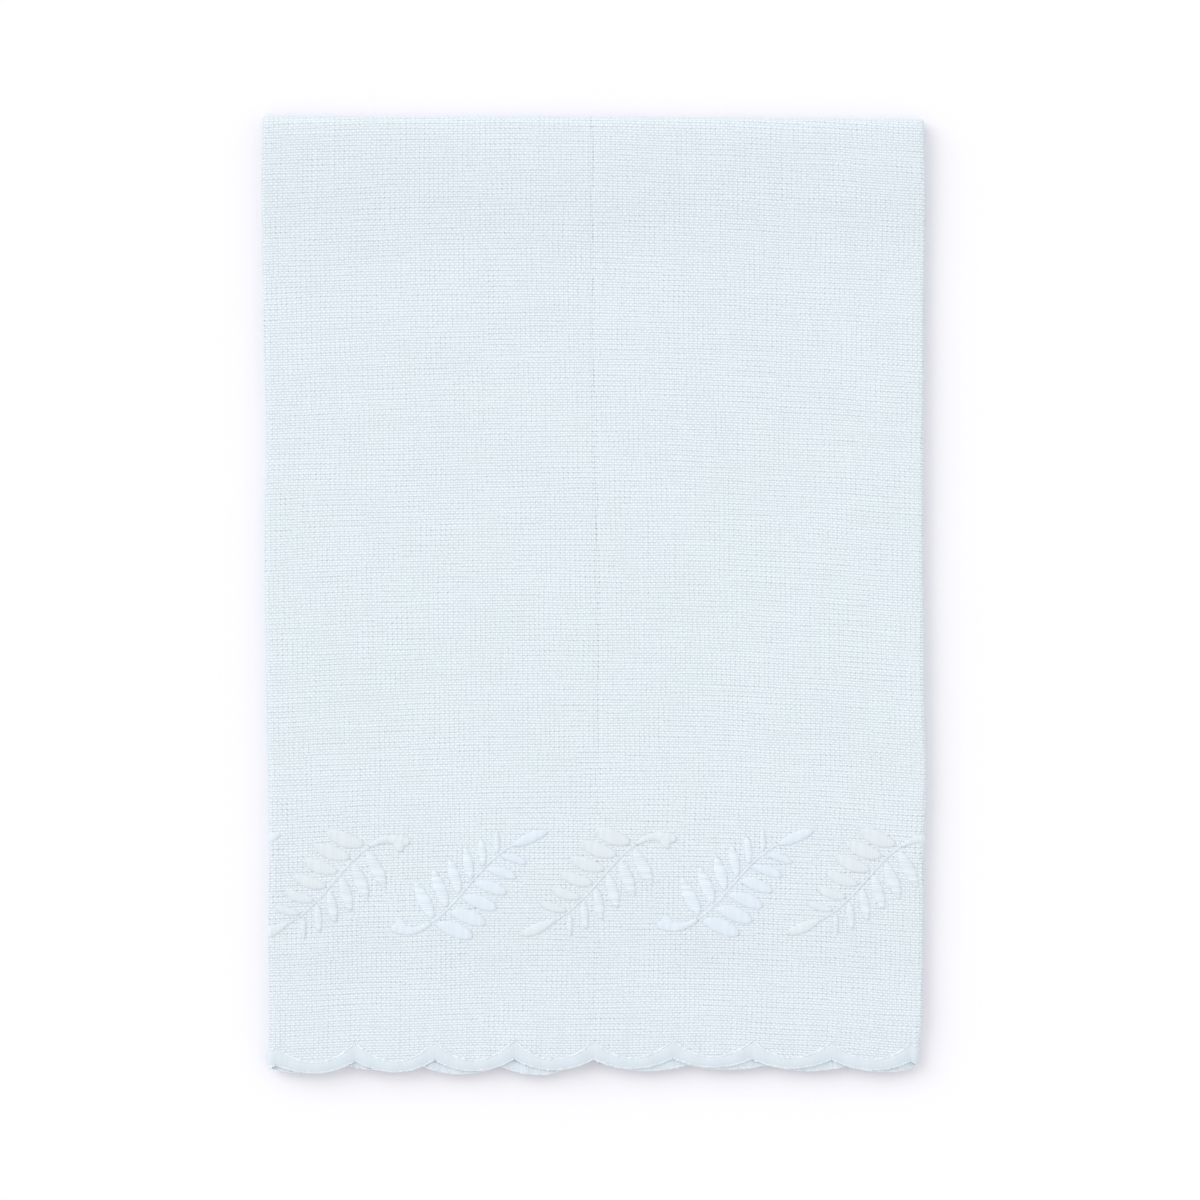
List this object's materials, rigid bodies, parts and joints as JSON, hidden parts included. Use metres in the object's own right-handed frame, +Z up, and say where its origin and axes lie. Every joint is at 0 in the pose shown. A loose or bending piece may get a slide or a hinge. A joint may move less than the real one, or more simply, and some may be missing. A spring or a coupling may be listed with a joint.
{
  "type": "hand towel",
  "caption": "White linen hand towel, folded in four layers, with a scalloped satin-stitch edge and a stitched border of leaf sprigs.",
  "frame": {"origin": "middle of the folded towel's footprint, on the surface that it lies on", "axes": "+X to the right and +Y up the towel from its scalloped end to its cross fold, seen from above; +Z up through the layers, out of the embroidered side"},
  "size_m": [0.1932, 0.2808, 0.0058],
  "materials": {
    "linen": "plain-weave linen, slightly bluish white, with smoother satin-stitch thread"
  },
  "bodies": {
    "root": {"towel": "linen"}
  },
  "joints": []
}
